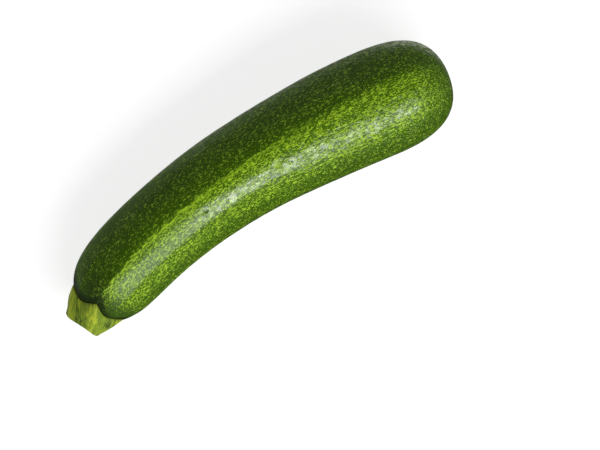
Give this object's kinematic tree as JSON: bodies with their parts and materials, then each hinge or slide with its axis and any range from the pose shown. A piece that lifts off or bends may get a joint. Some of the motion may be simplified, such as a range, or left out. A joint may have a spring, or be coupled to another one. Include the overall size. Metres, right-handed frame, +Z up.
{
  "type": "courgette",
  "caption": "Whole curved green courgette lying on its side, with a gently ribbed speckled skin, a blunt blossom end and a ridged stump of stalk.",
  "frame": {"origin": "middle of the underside of the whole part's bounding box", "axes": "+X runs along the length from the stalk's cut end to the blossom end, +Y is the side the courgette bows out to, +Z is up from the surface it lies on"},
  "size_m": [0.202, 0.0568, 0.0484],
  "materials": {
    "fruit_skin": "dark green waxy skin with fine pale green flecks, satin gloss",
    "stalk_green": "yellow-green fibrous stalk with darker grooves, matt"
  },
  "bodies": {
    "root": {"fruit": "fruit_skin", "stalk": "stalk_green"}
  },
  "joints": []
}
